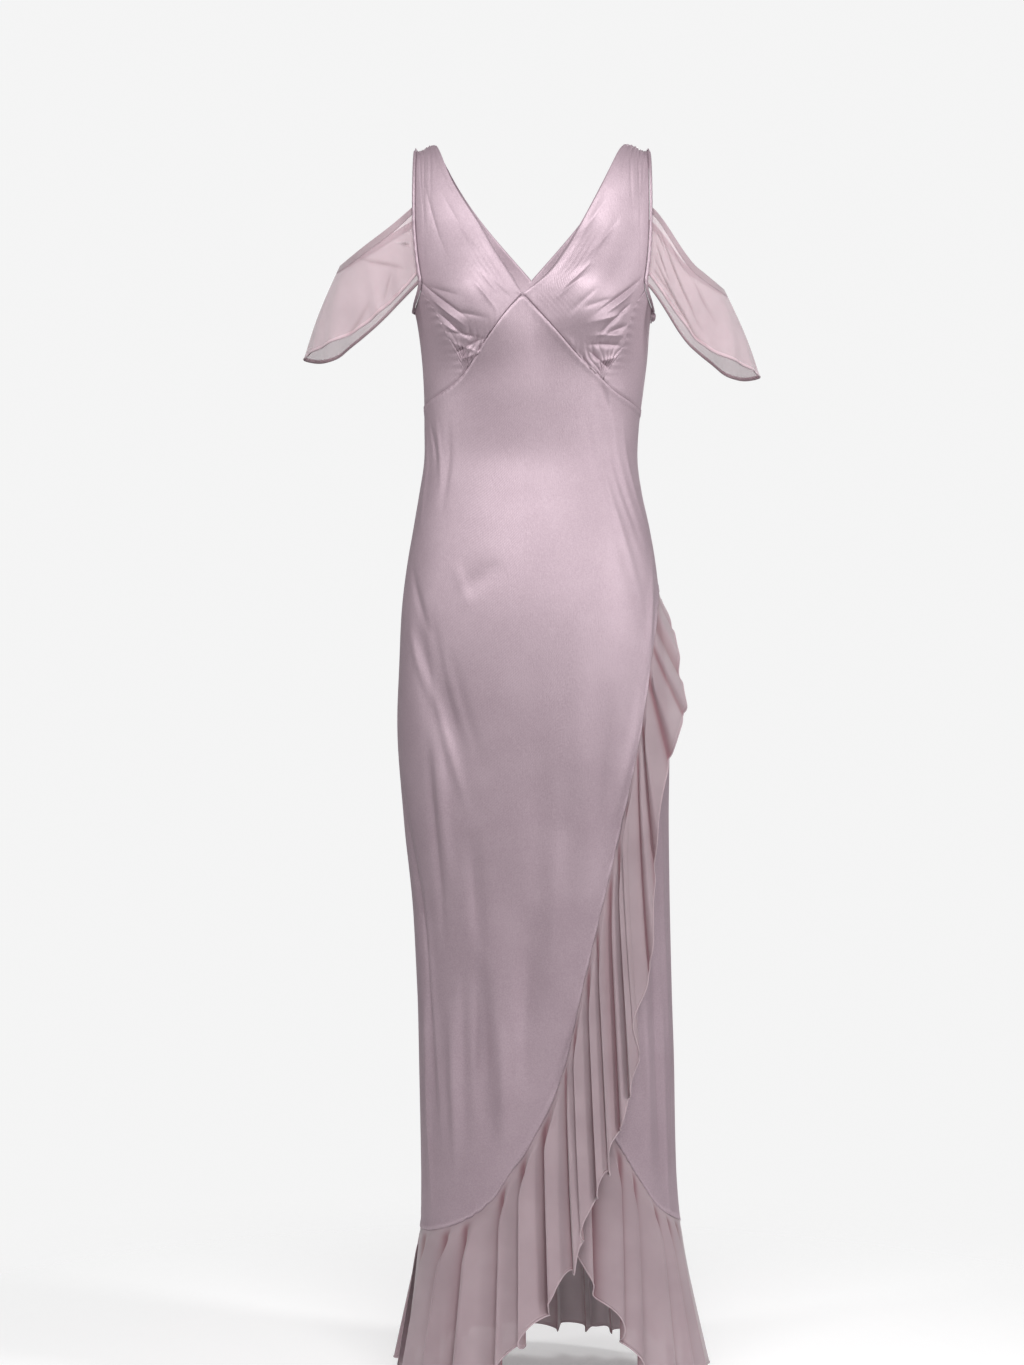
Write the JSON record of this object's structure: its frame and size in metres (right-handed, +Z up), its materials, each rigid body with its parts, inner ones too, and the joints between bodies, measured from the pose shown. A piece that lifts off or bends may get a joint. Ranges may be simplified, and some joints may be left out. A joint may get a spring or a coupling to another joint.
{
  "type": "maxi dress",
  "caption": "Bias-cut satin maxi dress with V neck, gathered cups, wrap front with a cascading georgette flounce, side slit and cold-shoulder flutter sleeves, hollow as worn.",
  "frame": {"origin": "midway between the two places where the straps lie on the shoulders, at their height", "axes": "+X to the wearer's left, -Y to the front, +Z up along the dress"},
  "size_m": [0.5408, 0.3762, 1.4605],
  "materials": {
    "satin": "dusty mauve bias-cut satin with a soft directional sheen",
    "georgette": "sheer matte georgette in the same dusty mauve"
  },
  "bodies": {
    "root": {"cup_right": "satin", "cup_left": "satin", "side_bodice_right": "satin", "side_bodice_left": "satin", "armhole_band_right": "satin", "armhole_band_left": "satin", "back_bodice": "satin", "front_overlap": "satin", "front_underlap": "satin", "back_skirt": "satin", "flounce_overlap": "georgette", "flounce_underlap": "georgette", "flounce_back": "georgette", "sleeve_right": "georgette", "sleeve_left": "georgette", "sleeve_band_right": "georgette", "sleeve_band_left": "georgette", "side_button": "satin", "button_loop": "satin"}
  },
  "joints": []
}
